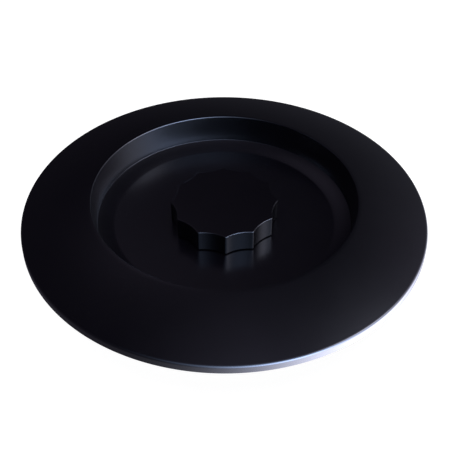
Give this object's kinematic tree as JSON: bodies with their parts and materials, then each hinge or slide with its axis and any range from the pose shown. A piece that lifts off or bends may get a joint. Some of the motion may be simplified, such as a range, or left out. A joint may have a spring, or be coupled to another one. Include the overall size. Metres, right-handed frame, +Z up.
{
  "type": "waste disposer cover",
  "caption": "Round gloss-black twist-lock cover for the drain throat of a kitchen waste disposer: sloping flange, round well, scalloped knob and a lugged rotor below.",
  "frame": {"origin": "on the axis, in the plane of the rim's lower edge, where the spigot starts", "axes": "+Z up along the knob's and the spigot's common axis, out of the well; -Y is the front"},
  "size_m": [0.1142, 0.1142, 0.0233],
  "materials": {
    "cover_black": "gloss black moulding, with a slight violet cast",
    "knob_black": "gloss black moulding, slightly softer than the cover",
    "seal_rubber": "matt black rubber",
    "acetal": "natural acetal, satin",
    "lock_nylon": "glass-filled nylon, satin dark grey",
    "stainless": "turned stainless steel",
    "spring_steel": "hardened spring steel",
    "brass": "turned brass",
    "nickel": "nickel plated magnet"
  },
  "bodies": {
    "cover": {"cover_shell": "cover_black", "rim_seal": "seal_rubber", "spindle_bush": "acetal", "bush_o_ring": "seal_rubber", "spacer_sleeves": "stainless", "glide_ring": "acetal", "base_plate": "lock_nylon", "base_screws": "stainless"},
    "lock": {"knob": "knob_black", "knob_insert": "brass", "thrust_washer": "acetal", "spindle": "stainless", "shaft_o_ring": "seal_rubber", "disc_spring": "spring_steel", "lock_rotor": "lock_nylon", "magnets": "nickel", "magnet_covers": "lock_nylon", "centre_bolt": "stainless", "bolt_washer": "stainless", "lock_washer": "spring_steel"}
  },
  "joints": [
    {"name": "knob_turn", "type": "hinge", "parent": "cover", "child": "lock", "pos_m": [0, 0, 0], "axis": [0, 0, -1], "range_deg": [0, 60]}
  ]
}
